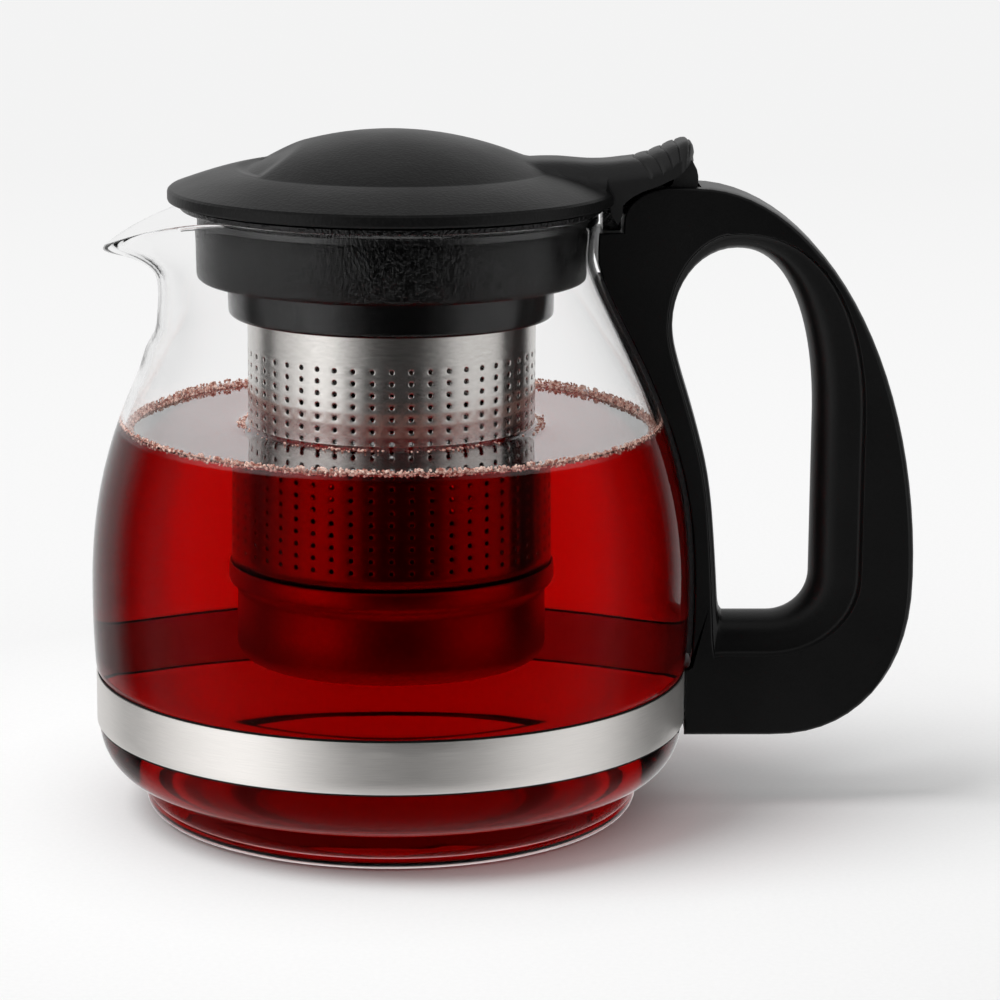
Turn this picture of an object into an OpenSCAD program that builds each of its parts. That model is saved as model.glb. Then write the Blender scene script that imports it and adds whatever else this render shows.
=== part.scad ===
// Glass teapot with a drop-in infuser and a flip lid. Millimetres, +Z up.
// Origin: centre of the foot face on the jug axis. Handle along +X, spout along -X.

/* [Jug] */
// Largest outer radius of the belly
belly_r = 65.2; // [62:0.1:72]
// Height of the widest part of the belly
belly_z = 47; // [42:0.5:52]
// Height of the glass rim
jug_h = 131.5; // [126:0.5:140]
// Outer radius of the neck
neck_r = 43.4; // [42.5:0.1:45]
// Height of the narrowest part of the neck below the rim
neck_drop = 10.5; // [9:0.5:13]
// Outward swell of the rim bead
bead_out = 1; // [0.5:0.1:1.3]
// Thickness of the glass wall
glass_wall = 1.8; // [1.4:0.1:2]
// Thickness of the glass floor
floor_t = 6.2; // [4:0.1:8]
// Radius of the foot where it meets the table edge round
foot_r = 50.4; // [46:0.1:54]
// Radius of the round at the foot edge
foot_round = 3.6; // [2:0.1:4]
// Height of the step between foot and belly
foot_h = 8.2; // [7:0.1:9.5]

/* [Spout] */
// How far the spout tip reaches from the axis
spout_reach = 61.5; // [58:0.5:68]
// How far the spout tip dips below the rim
spout_dip = 9; // [7:0.5:11]
// Radius of the throat under the lip
throat_r = 50.3; // [49:0.1:52]
// Height at which the spout leaves the shoulder, below the rim
spout_depth = 38; // [34:1:42]
// Half angle that the spout takes from the rim
spout_half_angle = 42; // [36:1:48]

/* [Band] */
// Height of the lower edge of the steel band
band_z = 20; // [19:0.5:22]
// Height of the steel band
band_h = 11; // [8:0.5:12]
// Sheet thickness of the steel band
band_t = 0.5; // [0.4:0.05:0.8]
// Depth of the seat for the band below the belly surface
band_inset = 1.2; // [0.8:0.1:1.4]
// Gap between the two folded ears of the band
ear_gap = 3; // [2:0.5:3.5]
// Length of the folded ears
ear_l = 8; // [7:0.5:9]
// Diameter of the clamp screw
screw_d = 3; // [2.5:0.5:3.5]

/* [Handle] */
// Distance from the axis to the outside of the grip
handle_reach = 114; // [108:1:122]
// Width of the handle
handle_w = 16; // [15:0.5:20]
// Depth of the grip at mid height
grip_depth = 22.5; // [18:0.5:26]
// Thickness of the bar that follows the glass
bar_t = 6.2; // [5:0.1:8]
// Height of the finger hole floor
hole_z = 43; // [40:0.5:48]
// Height of the finger hole roof
hole_top = 123.4; // [118:0.2:125]
// Height of the handle's lower face
handle_z = 16.6; // [15:0.2:18]
// Thickness of the cushion between glass and handle
cushion_t = 1; // [0.6:0.1:1.6]
// Width of the cushion between glass and handle
cushion_w = 11; // [8:0.5:13]

/* [Infuser] */
// Gap between the glass neck and the collar that drops into it
collar_gap = 0.4; // [0.35:0.05:1]
// Height of the collar below the rim
collar_h = 14.9; // [12:0.1:17]
// Wall of the collar
collar_wall = 3.2; // [2.4:0.1:3.6]
// How far the flange that rests on the glass rim stands out over it
flange_over = 1; // [0.4:0.1:1.6]
// Thickness of the flange
flange_t = 1.2; // [1:0.1:1.8]
// How far the ring that holds the basket steps in from the collar
holder_in = 6.3; // [5.3:0.1:7.3]
// How far the ring hangs below the collar
holder_h = 7.9; // [6:0.1:10]
// How far the perforated basket steps in from the ring
basket_in = 3.8; // [3.4:0.1:5]
// Sheet thickness of the basket
basket_t = 0.4; // [0.3:0.05:0.5]
// Height of the joint between basket sleeve and cup
cup_top = 54.5; // [50:0.5:60]
// Height of the underside of the cup
cup_z = 34; // [28:0.5:40]
// How far the cup steps in from the basket
cup_step = 1.2; // [0.8:0.1:2]

/* [Lid] */
// How far the lid stands out over the flange
lid_over = 2.6; // [1.8:0.1:3.6]
// Height of the lid's side face
lid_edge_h = 2.4; // [2:0.1:3.2]
// Width of the brim from the lid's edge to the crease of the dome
brim_w = 14; // [10:0.5:18]
// Rise of the brim from the edge to the crease
brim_rise = 4.3; // [3.4:0.1:5]
// Rise of the dome above the crease
dome_rise = 8.1; // [6:0.1:9]
// Wall of the lid
lid_wall = 2.2; // [1.6:0.1:2.4]
// Gap between the plug under the lid and the collar
plug_gap = 1.4; // [1.4:0.1:4]
// How far the plug reaches below the lid's edge
plug_h = 7.5; // [5:0.5:9]
// Width of the thumb lever
lever_w = 19.2; // [19:0.2:20.6]
// How far the thumb lever reaches past the hinge
lever_l = 6.1; // [5.5:0.1:6.6]

/* [Hinge] */
// Distance from the lid's edge out to the hinge pin
hinge_out = 10.5; // [10:0.1:11.5]
// Height of the hinge pin above the glass rim
hinge_rise = 7; // [6.6:0.1:7.6]
// Diameter of the hinge pin
pin_d = 3; // [2.5:0.1:3.4]
// Radius of the hinge boss on the bracket
boss_r = 3.6; // [3:0.1:3.8]
// Grooves across the thumb lever
grooves = 5; // [3:1:6]
// Radius of the web under the thumb lever
web_r = 7; // [6.6:0.1:7.2]
// Thickness of each hinge lug of the lid
lug_t = 2.4; // [1.8:0.1:2.6]
// Thickness of the bracket's hinge tongue
tongue_t = 5.4; // [4.6:0.1:5.6]

/* [Hidden] */
$fn = 96;
eps = 0.05;
steps = 12;

// Clearances
slide_gap = 0.4;
seat_gap = 0.3;
bed_gap = 0.1;
pin_gap = 0.05;

// ---- shared geometry ----
function lerp(a, b, t) = a + (b - a) * t;
function quarter(c, a, b, n, from, to, k = steps) =
    [for (i = [0 : k]) let (t = lerp(from, to, i / k), x = cos(t), y = sin(t))
        [c[0] + a * sign(x) * pow(abs(x), 2 / n), c[1] + b * sign(y) * pow(abs(y), 2 / n)]];

neck_z = jug_h - neck_drop;
seat_r = belly_r - band_inset;
seat_low = band_z - 0.5;
seat_high = band_z + band_h + 0.5;
bead_r = neck_r + bead_out;
foot_wall_r = foot_r + foot_round;
collar_r = neck_r - glass_wall - collar_gap;
flange_r = bead_r + flange_over;
holder_r = collar_r - holder_in;
basket_r = holder_r - basket_in;
lid_r = flange_r + lid_over;
dome_r = lid_r - brim_w;
plug_r = collar_r - collar_wall - plug_gap;
hinge_x = lid_r + hinge_out;

// Radius of the glass from the widest part of the belly up to the neck
function shoulder_r(z) = let (t = max(0, min(1, (z - belly_z) / (neck_z - belly_z))))
    neck_r + (belly_r - neck_r) * pow(1 - pow(t, 2.4), 1.4);
// Radius of the glass between the band and the widest part
function waist_r(z) = belly_r - 0.6 * pow((belly_z - z) / (belly_z - seat_high), 2);
function glass_r(z) = z > belly_z ? shoulder_r(z) : waist_r(z);

shoulder_k = 10;
function foot_points() = concat([[0, 0]], quarter([foot_r, foot_round], foot_round, foot_round, 2, -90, 0, 3),
    quarter([foot_wall_r, seat_low], seat_r - foot_wall_r, seat_low - foot_h, 2, -90, 0, 5));
function belly_points(off) = concat(
    [for (i = [0 : 1]) let (z = lerp(seat_high, belly_z, i / 2)) [waist_r(z) + off, z]],
    [for (i = [0 : shoulder_k]) let (z = lerp(belly_z, neck_z, i / shoulder_k)) [shoulder_r(z) + off, z]]);
bead_h = 4;
function rim_points() = [[lerp(neck_r, bead_r, 0.3), jug_h - bead_h], [bead_r, jug_h - bead_h / 2],
    [bead_r, jug_h - bead_h / 4], [bead_r - bead_out, jug_h], [neck_r - glass_wall, jug_h]];

inner_floor_r = foot_wall_r - 7;
module outer_half() {
    polygon(concat(foot_points(), [[seat_r, seat_high]], belly_points(0), rim_points(), [[0, jug_h]]));
}
module cavity_half() {
    polygon(concat([[0, floor_t], [inner_floor_r, floor_t]],
        quarter([foot_wall_r, seat_low], seat_r - glass_wall - foot_wall_r, seat_low - foot_h - glass_wall, 2, -90, 0, 4),
        [[seat_r - glass_wall, seat_high]], belly_points(-glass_wall), [[neck_r - glass_wall, jug_h + 1],
        [0, jug_h + 1]]));
}
module revolved() {
    rotate_extrude($fn = 180) children();
}

// ---- spout: a thin lip in rows and columns of points. Its sides and root end inside the glass wall ----
spout_cols = 12;
lip_inset = 0.25;
lip_root = 3;
tip_z = jug_h - spout_dip;
spout_low = jug_h - spout_depth;
function above_neck(z, out) = [lerp(glass_r(z), throat_r, 0.5) + out, z];
function lip_line() = [[glass_r(spout_low - lip_root), spout_low - lip_root],
    [glass_r(spout_low), spout_low],
    above_neck(jug_h - 26.5, 2),
    above_neck(jug_h - 22, 2.6),
    [throat_r, jug_h - 16.5],
    [throat_r + 0.8, jug_h - 13.9],
    [lerp(throat_r, spout_reach, 0.27), tip_z - 3.2],
    [lerp(throat_r, spout_reach, 0.6), tip_z - 1.1],
    [spout_reach, tip_z]];
lip_rows = len(lip_line());
function neck_line() = concat([lip_line()[0]],
    [for (j = [1 : lip_rows - 1]) let (z = lerp(spout_low, jug_h - 0.5, (j - 1) / (lip_rows - 2))) [glass_r(z), z]]);
function tangent(p, j) = let (a = p[max(0, j - 1)], b = p[min(len(p) - 1, j + 1)], d = b - a) d / norm(d);
function inward(p, w) = [for (j = [0 : len(p) - 1]) let (t = tangent(p, j)) p[j] + w * [-t[1], t[0]]];
// How much of the lip's reach a column at angle a has
function spout_swing(a) = pow(max(0, 1 - pow(abs(a) / spout_half_angle, 1.3)), 1.5);
// One column of the lip at angle a, at the given depth below the outer glass surface
function lip_column(a, depth) = let (g = spout_swing(a), side = neck_line(), centre = level_root(depth))
    [for (j = [0 : lip_rows - 1])
        [lerp(side[j][0] - depth, centre[j][0], g), lerp(side[j][1], centre[j][1], j > 4 ? pow(g, 1.7) : g)]];
// The two root rows stay level, so that the root lies inside the wall all the way round
function level_root(depth) = let (line = lip_line(), p = inward(line, depth))
    [for (j = [0 : lip_rows - 1]) j < 2 ? line[j] - [depth, 0] : p[j]];
function polar(p, a) = [-p[0] * cos(a), -p[0] * sin(a), p[1]];
lip_angles = concat([-spout_half_angle - 3], [for (i = [0 : spout_cols]) lerp(-1, 1, i / spout_cols) * spout_half_angle],
    [spout_half_angle + 3]);
module spout_lip() {
    k = 2 * lip_rows;
    m = len(lip_angles);
    pts = [for (a = lip_angles) each [for (p = concat(lip_column(a, lip_inset), lip_column(a, glass_wall - lip_inset)))
        polar(p, a)]];
    // Walk round a column: up the outer face and down the inner one
    function at(i, j) = i * k + (j < lip_rows ? j : 3 * lip_rows - 1 - j);
    walls = [for (i = [0 : m - 2]) for (j = [0 : k - 1]) let (n = (j + 1) % k)
        each [[at(i, j), at(i, n), at(i + 1, n)], [at(i, j), at(i + 1, n), at(i + 1, j)]]];
    first = [for (j = [0 : lip_rows - 2])
        each [[j + 1, j, lip_rows + j], [j + 1, lip_rows + j, lip_rows + j + 1]]];
    last = [for (t = first) [for (v = [2 : -1 : 0]) t[v] + (m - 1) * k]];
    polyhedron(pts, concat(walls, first, last), convexity = 6);
}
// The part of the neck and shoulder that the lip takes the place of
module lip_gap() {
    a = spout_half_angle + 1.5;
    far = 2 * spout_reach;
    translate([0, 0, spout_low - lip_root / 2]) linear_extrude(jug_h)
        polygon([[0, 0], [-far, far * tan(a)], [-far, -far * tan(a)]]);
}

// ---- sub-parts of the pot ----
module glass_jug() {
    color([0.85, 0.9, 0.9, 0.45])
    union() {
        difference() {
            revolved() outer_half();
            revolved() cavity_half();
            lip_gap();
        }
        spout_lip();
    }
}

band_in = seat_r + bed_gap / 2;
band_out = band_in + band_t;
ear_x = band_in + ear_l;
screw_x = band_out + ear_l / 2;
screw_z = band_z + band_h / 2;
screw_hole_r = screw_d / 2 + 0.15;
module belly_band() {
    color("silver")
    difference() {
        union() {
            difference() {
                translate([0, 0, band_z]) cylinder(r = band_out, h = band_h, $fn = 180);
                translate([0, 0, band_z - 1]) cylinder(r = band_in, h = band_h + 2, $fn = 180);
                translate([0, -ear_gap / 2, band_z - 1]) cube([band_out + 5, ear_gap, band_h + 2]);
            }
            for (s = [-1, 1])
                translate([band_in, s * (ear_gap + band_t) / 2 - band_t / 2, band_z])
                    cube([ear_l, band_t, band_h]);
        }
        translate([screw_x, 0, screw_z]) rotate([90, 0, 0])
            cylinder(r = screw_hole_r, h = ear_gap + 4, center = true);
    }
}

// Nut and screw lie across the handle; the head is on the +Y side
nut_t = 2.4;
nut_af = 5.5;
nut_y = -ear_gap / 2 - band_t - bed_gap;
pocket_low = nut_y - nut_t - 0.2;
pocket_high = ear_gap / 2 + band_t + bed_gap;
head_r = screw_d * 0.92;
head_t = 2;
head_y = handle_w / 2 - 0.4 - head_t;
screw_end = pocket_low - 1.2;
key_d = 2;
key_h = 1.2;
module clamp_screw() {
    color("gray")
    difference() {
        union() {
            translate([screw_x, head_y + head_t, screw_z]) rotate([90, 0, 0]) cylinder(r = head_r, h = head_t);
            translate([screw_x, head_y + eps, screw_z]) rotate([90, 0, 0])
                cylinder(d = screw_d, h = head_y + eps - screw_end);
        }
        translate([screw_x, head_y + head_t + eps, screw_z]) rotate([90, 0, 0]) cylinder(d = key_d, h = key_h, $fn = 6);
    }
}
module clamp_nut() {
    color("gray")
    translate([screw_x, nut_y, screw_z]) rotate([90, 0, 0])
    difference() {
        cylinder(d = nut_af / cos(30), h = nut_t, $fn = 6);
        translate([0, 0, -1]) cylinder(d = screw_d, h = nut_t + 2);
    }
}

// Handle outline, seen along +Y: cheek, crest, outer curve, lower face
hinge_z = jug_h + hinge_rise;
crest_x = hinge_x + 6.5;
crest_z = hinge_z - 1.4;
wide_z = 52;
heel_round = 31;
outer_low_x = handle_reach - heel_round;
notch_x = hinge_x - 9.1;
notch_z = jug_h - 4.2;
slot_floor = hinge_z - web_r - 0.7;
slot_half = tongue_t / 2 + lug_t + 2 * seat_gap + 0.2;
slot_end = hinge_x + web_r + slide_gap;
module handle_outline() {
    polygon(concat([[neck_r - 5, handle_z], [neck_r - 5, notch_z], [notch_x, notch_z], [notch_x + 0.1, notch_z + 2.6]],
        quarter([hinge_x + 0.5, notch_z + 2.6], hinge_x + 0.4 - notch_x, crest_z - notch_z - 2.6, 1.9, 170, 90, 6),
        quarter([crest_x, wide_z], handle_reach - crest_x, crest_z - wide_z, 2, 90, 0, 18),
        quarter([outer_low_x, wide_z], handle_reach - outer_low_x, wide_z - handle_z, 2.3, 0, -90, 12)));
}
hole_out = handle_reach - grip_depth;
hole_mid = hole_out - 17.5;
hole_in = hinge_x + 2;
hole_round = 9;
arch_z = 85;
arch_in = 16;
function hole_points(grow, drop, lift, left) = concat(
    quarter([hole_mid, arch_z], hole_out + grow - hole_mid, hole_top + lift - arch_z, 2.3, 0, 90, 10),
    quarter([hole_mid, hole_top - arch_in], hole_mid - left, arch_in + lift, 1.8, 90, 180, 8),
    [[left, hole_z - drop]],
    quarter([hole_out - hole_round, hole_z + hole_round], hole_round + grow, hole_round + drop, 2, -90, 0, 6));
module finger_hole() {
    difference() {
        polygon(hole_points(0, 0, 0, hole_in));
        polygon(concat([[0, handle_z], [seat_r + bar_t + 1, handle_z]],
            [for (p = belly_points(bar_t + 1)) if (p[1] < neck_z - 10) p], [[0, neck_z - 10]]));
    }
}
module flat_plate(y0, y1) {
    translate([0, y1, 0]) rotate([90, 0, 0]) linear_extrude(y1 - y0) children();
}
bevel_start = 1.5;
bevel_out = 11;
bevel_down = 8.7;
bevel_up = 4;
bevel_in = seat_r + bar_t + 0.8;
module finger_bevel(s) {
    y_mid = s * bevel_start;
    y_out = s * (handle_w / 2 + 0.1);
    hull() {
        flat_plate(min(y_mid, y_mid + s * 0.1), max(y_mid, y_mid + s * 0.1))
            polygon(hole_points(-0.3, -0.3, -0.3, bevel_in));
        flat_plate(min(y_out, y_out + s * 0.1), max(y_out, y_out + s * 0.1))
            polygon(hole_points(bevel_out, bevel_down, bevel_up, bevel_in));
    }
}
glue_gap = cushion_t + 2 * bed_gap;
// Everything closer to the axis than the glass plus a gap
module glass_room(gap) {
    revolved() polygon(concat([[0, handle_z - 5], [band_out + bed_gap, handle_z - 5], [band_out + bed_gap, seat_high]],
        belly_points(gap), [[neck_r + gap, jug_h - bead_h - 1], [bead_r + gap, jug_h - 2], [bead_r + gap, jug_h + 20],
        [0, jug_h + 20]]));
}
module handle() {
    color([0.08, 0.08, 0.08])
    difference() {
        flat_plate(-handle_w / 2, handle_w / 2) difference() {
            handle_outline();
            finger_hole();
        }
        finger_bevel(-1);
        finger_bevel(1);
        glass_room(glue_gap);
        translate([notch_x - 1, -slot_half, slot_floor]) cube([slot_end - notch_x + 1, 2 * slot_half, 20]);
        translate([seat_r - 5, pocket_low, band_z - 0.3])
            cube([ear_x + 0.5 - seat_r + 5, pocket_high - pocket_low, band_h + 0.6]);
        translate([screw_x, handle_w / 2 + 1, screw_z]) rotate([90, 0, 0])
            cylinder(r = screw_hole_r, h = handle_w / 2 + 1 - screw_end + 0.3);
        translate([screw_x, handle_w / 2 + 1, screw_z]) rotate([90, 0, 0])
            cylinder(r = head_r + 0.2, h = handle_w / 2 + 1 - head_y + bed_gap);
    }
}

cushion_low = seat_high + 3;
cushion_high = neck_z - 4;
module handle_cushion() {
    color([0.2, 0.2, 0.2])
    intersection() {
        difference() {
            revolved() polygon(concat([[0, handle_z]], belly_points(bed_gap + cushion_t), [[0, neck_z]]));
            revolved() polygon(concat([[0, handle_z]], belly_points(bed_gap), [[0, neck_z + 1]]));
        }
        translate([0, -cushion_w / 2, cushion_low]) cube([belly_r + 10, cushion_w, cushion_high - cushion_low]);
    }
}

// ---- sub-parts of the infuser ----
flange_z = jug_h + seat_gap;
collar_z = jug_h - collar_h;
shelf_t = 2;
shelf_r = holder_r + bed_gap;
collar_in = collar_r - collar_wall;
block_x = bead_r + 0.6;
block_half = slot_half - slide_gap;
tongue_z = slot_floor + slide_gap;
bracket_x = notch_x - 0.5;
module pin_bore(r) {
    translate([hinge_x, 0, hinge_z]) rotate([90, 0, 0]) cylinder(r = r, h = lever_w + 4, center = true);
}
module infuser_collar() {
    color([0.1, 0.1, 0.1])
    difference() {
        union() {
            revolved() polygon([[shelf_r, collar_z], [collar_r - 0.8, collar_z], [collar_r, collar_z + 0.8],
                [collar_r, flange_z], [flange_r, flange_z], [flange_r, flange_z + flange_t],
                [collar_in, flange_z + flange_t], [collar_in, collar_z + shelf_t], [shelf_r, collar_z + shelf_t]]);
            flat_plate(-block_half, block_half)
                polygon([[collar_in + 1, flange_z], [collar_in + 1, flange_z + flange_t],
                    [bracket_x + 2, flange_z + flange_t], [bracket_x + 2, tongue_z], [bracket_x, tongue_z],
                    [bracket_x, notch_z + seat_gap], [block_x, notch_z + seat_gap], [block_x, flange_z]]);
            flat_plate(-tongue_t / 2, tongue_t / 2) {
                polygon([[bracket_x + 1, tongue_z], [bracket_x + 1, flange_z + flange_t], [hinge_x - boss_r, hinge_z],
                    [hinge_x, hinge_z], [hinge_x + boss_r * 0.6, tongue_z]]);
                translate([hinge_x, hinge_z]) circle(r = boss_r);
            }
        }
        pin_bore(pin_d / 2);
    }
}

holder_z = collar_z - holder_h;
holder_lip = 2.8;
holder_top = collar_z + shelf_t + bed_gap;
rolled_z = holder_top - 0.6;
module basket_holder() {
    color([0.06, 0.06, 0.06])
    revolved() polygon([[basket_r + bed_gap, holder_z], [holder_r - 0.6, holder_z], [holder_r, holder_z + 0.6],
        [holder_r, holder_top], [holder_r + holder_lip, holder_top], [holder_r + holder_lip, holder_top + 1.6],
        [holder_r - 0.9, holder_top + 1.6], [holder_r - 0.9, rolled_z], [basket_r + bed_gap, rolled_z]]);
}
rolled_out = 2.4;
module basket_sleeve() {
    color("silver")
    revolved() polygon([[basket_r - basket_t, cup_top - 3], [basket_r, cup_top - 3], [basket_r, rolled_z + bed_gap],
        [basket_r + rolled_out, rolled_z + bed_gap], [basket_r + rolled_out, rolled_z + bed_gap + basket_t],
        [basket_r - basket_t, rolled_z + bed_gap + basket_t]]);
}
cup_r = basket_r - cup_step;
cup_corner = 4;
bead_low = cup_top - 4;
module basket_cup() {
    color("silver")
    revolved() polygon(concat(
        [[0, cup_z]], quarter([cup_r - cup_corner, cup_z + cup_corner], cup_corner, cup_corner, 2, -90, 0, 6),
        [[cup_r, bead_low - 1.5], [basket_r + bed_gap + basket_t, bead_low], [basket_r + bed_gap + basket_t, cup_top],
         [basket_r + bed_gap, cup_top], [basket_r + bed_gap, bead_low + 0.2], [cup_r - basket_t, bead_low - 1.3]],
        quarter([cup_r - cup_corner, cup_z + cup_corner], cup_corner - basket_t, cup_corner - basket_t, 2, 0, -90, 6),
        [[0, cup_z + basket_t]]));
}
module hinge_pin() {
    color("silver")
    translate([hinge_x, 0, hinge_z]) rotate([90, 0, 0])
        cylinder(d = pin_d, h = 2 * (slot_half - slide_gap - 0.1), center = true);
}

// ---- sub-parts of the lid ----
lid_z = flange_z + flange_t + 0.5;
edge_z = lid_z + lid_edge_h;
crease_z = edge_z + brim_rise;
dome_z = crease_z + dome_rise;
function dome_points(r, rise, z, k) = [for (i = [0 : k]) let (x = r * (1 - i / k)) [x, z + rise * (1 - pow(x / r, 2))]];
liner_t = 1.4;
liner_r = lid_r - lid_wall - bed_gap;
lever_half = lever_w / 2;
skirt_in = handle_w / 2 + seat_gap;
lever_x = hinge_x + lever_l;
lever_top = hinge_z + 7.8 * lever_l / 6.1;
// Arm and lever are drawn in steps of u, which follows the reach of the lever
u = lever_l / 6.1;
tip_drop = 3 * u;
tip_rise = 3.4 * u;
// Top line of arm and lever, from inside the dome to the tip
function arm_top() = [[dome_r - 6, crease_z + 2.6], [dome_r, crease_z + 2], [lid_r - 6.6, crease_z + 1.7],
    [lid_r + 0.8, crease_z + 1.9], [hinge_x - 4.6 * u, hinge_z + 4.9 * u], [hinge_x - 1.4 * u, hinge_z + 6.2 * u],
    [hinge_x + 1.5 * u, hinge_z + 7.3 * u], [lever_x - 1.7 * u, lever_top], [lever_x - 0.3 * u, lever_top - 1.2 * u],
    [lever_x, lever_top - tip_drop]];
// Lower line of the skirts, from the tip back to the leg
function skirt_line() = [[lever_x - 1.3 * u, hinge_z + tip_rise], [hinge_x + 1.5 * u, hinge_z + 0.8 * u],
    [hinge_x - 2.1 * u, hinge_z - 0.9 * u], [hinge_x - 5.5 * u, hinge_z - 2.1 * u],
    [notch_x + 0.9, hinge_z - 3.6 * u], [notch_x - 0.5, hinge_z - 5.1 * u],
    [notch_x - 0.5, hinge_z - 10.2 * u], [notch_x - 1.5, hinge_z - 9.1 * u],
    [notch_x - 2.4, hinge_z - 7.9 * u], [notch_x - 2.8, hinge_z - 7.2 * u], [notch_x - 3.3, lid_z + 0.4]];
module arm_room() {
    polygon(concat([for (p = arm_top()) if (p[0] > lid_r - lid_wall - 1 && p[0] < lever_x - 2 * u) p - [0, lid_wall]],
        [[lever_x - 2.2 * u, hinge_z + 4 * u], [lever_x - 2.2 * u, 0], [lid_r - lid_wall - 1, 0]]));
}
boss_wall = 0.6;
lug_top = hinge_z + 5 * u;
module lug_plate() {
    translate([hinge_x, hinge_z]) circle(r = boss_r + boss_wall);
    intersection() {
        translate([hinge_x, hinge_z]) circle(r = web_r);
        translate([hinge_x - 1, hinge_z - web_r / 2]) square([web_r + 2, web_r + 2]);
    }
    polygon([[hinge_x - boss_r, hinge_z], [hinge_x - boss_r, hinge_z + boss_r], [hinge_x - 1.4 * u, lug_top],
        [lever_x - u, lug_top], [lever_x - u, hinge_z]]);
}
groove_r = 0.5;
module lever_grooves() {
    a = [hinge_x - 4.6 * u, hinge_z + 4.9 * u];
    b = [hinge_x + 1.5 * u, hinge_z + 7.3 * u];
    for (i = [0 : grooves - 1]) let (p = a + (b - a) * (i + 0.3) / (grooves - 0.6))
        translate([p[0], 0, p[1]]) rotate([90, 0, 0])
            cylinder(r = groove_r, h = lever_w + 2, center = true, $fn = 24);
}
module lid_cover() {
    color([0.13, 0.13, 0.13])
    difference() {
        union() {
            revolved() polygon(concat([[0, lid_z], [lid_r - 0.4, lid_z], [lid_r, lid_z + 0.4], [lid_r, edge_z - 0.4],
                [lid_r - 0.6, edge_z + 0.3]], dome_points(dome_r, dome_rise, crease_z, 12)));
            flat_plate(-lever_half, lever_half)
                polygon(concat([[dome_r - 6, crease_z - 1]], arm_top(),
                    [[lever_x - 1.3 * u, hinge_z + tip_rise], [lid_r + 2, hinge_z + 1.5 * u], [lid_r - 1, edge_z - 1]]));
            for (s = [0, 1]) mirror([0, s, 0]) flat_plate(skirt_in, lever_half)
                polygon(concat([[lid_r - 4, edge_z - 1], [lid_r - 2, crease_z]], [for (p = arm_top()) if (p[0] > lid_r) p],
                    skirt_line()));
            for (s = [0, 1]) mirror([0, s, 0])
                flat_plate(tongue_t / 2 + seat_gap, tongue_t / 2 + seat_gap + lug_t) lug_plate();
        }
        revolved() polygon(concat([[0, lid_z - 1], [lid_r - lid_wall, lid_z - 1], [lid_r - lid_wall, edge_z - 0.9],
            [dome_r, crease_z - lid_wall]], dome_points(dome_r - 1, dome_rise - 0.2, crease_z - lid_wall, 10)));
        difference() {
            flat_plate(-skirt_in, skirt_in) arm_room();
            cylinder(r = lid_r, h = edge_z + 0.6, $fn = 180);
            for (s = [0, 1]) mirror([0, s, 0])
                flat_plate(tongue_t / 2 + seat_gap, tongue_t / 2 + seat_gap + lug_t) lug_plate();
        }
        pin_bore(pin_d / 2 + pin_gap);
        lever_grooves();
    }
}
module lid_liner() {
    color([0.1, 0.1, 0.1])
    revolved() polygon([[0, lid_z + 0.1], [plug_r - 2, lid_z + 0.1], [plug_r - 2, lid_z - plug_h], [plug_r, lid_z - plug_h],
        [plug_r, lid_z + 0.1], [liner_r, lid_z + 0.1], [liner_r, lid_z + 0.1 + liner_t], [0, lid_z + 0.1 + liner_t]]);
}

glass_jug();
belly_band();
handle();
handle_cushion();
clamp_screw();
clamp_nut();
infuser_collar();
basket_holder();
basket_sleeve();
basket_cup();
hinge_pin();
lid_cover();
lid_liner();
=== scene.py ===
import math
import random
import bmesh
import bpy
from mathutils import Matrix, Vector


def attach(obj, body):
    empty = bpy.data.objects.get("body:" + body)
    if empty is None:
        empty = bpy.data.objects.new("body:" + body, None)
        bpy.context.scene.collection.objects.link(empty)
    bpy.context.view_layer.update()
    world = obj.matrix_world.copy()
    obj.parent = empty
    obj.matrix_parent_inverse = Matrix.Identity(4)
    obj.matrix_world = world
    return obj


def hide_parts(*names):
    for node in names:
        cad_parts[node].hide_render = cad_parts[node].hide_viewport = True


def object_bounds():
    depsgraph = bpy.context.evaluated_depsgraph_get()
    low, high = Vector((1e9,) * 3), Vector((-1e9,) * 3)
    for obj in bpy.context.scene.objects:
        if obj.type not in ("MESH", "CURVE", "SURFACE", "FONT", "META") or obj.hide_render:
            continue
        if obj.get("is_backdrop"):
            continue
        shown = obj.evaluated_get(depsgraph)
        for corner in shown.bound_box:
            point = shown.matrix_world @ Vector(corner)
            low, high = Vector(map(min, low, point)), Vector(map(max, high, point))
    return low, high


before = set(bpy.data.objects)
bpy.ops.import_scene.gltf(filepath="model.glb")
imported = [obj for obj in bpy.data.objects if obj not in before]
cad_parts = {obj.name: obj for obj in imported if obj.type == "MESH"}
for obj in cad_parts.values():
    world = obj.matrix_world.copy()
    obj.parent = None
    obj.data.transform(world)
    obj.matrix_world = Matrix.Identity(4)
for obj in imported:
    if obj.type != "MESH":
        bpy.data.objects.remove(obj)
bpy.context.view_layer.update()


# ---- camera ----
# A long lens at table height, looking a little down on the pot with the handle to the right.
lens = bpy.data.cameras.new("camera")
lens.lens = 126.957
lens.sensor_width = 36
lens.clip_end = 50
camera = bpy.data.objects.new("camera", lens)
bpy.context.scene.collection.objects.link(camera)
pitch, yaw, roll = math.radians(12.1101), math.radians(1.80033), math.radians(-0.44507)
ahead = Vector((math.sin(yaw), math.cos(yaw), 0))
aim = ahead * math.cos(pitch) - Vector((0, 0, math.sin(pitch)))
level_side = Vector((math.cos(yaw), -math.sin(yaw), 0))
level_top = ahead * math.sin(pitch) + Vector((0, 0, math.cos(pitch)))
side = level_side * math.cos(roll) - level_top * math.sin(roll)
top = level_side * math.sin(roll) + level_top * math.cos(roll)
stand = Matrix.Translation((0, -0.75263, 0.229137))
camera.matrix_world = stand @ Matrix((side, top, -aim)).transposed().to_4x4()
bpy.context.scene.camera = camera
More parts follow.
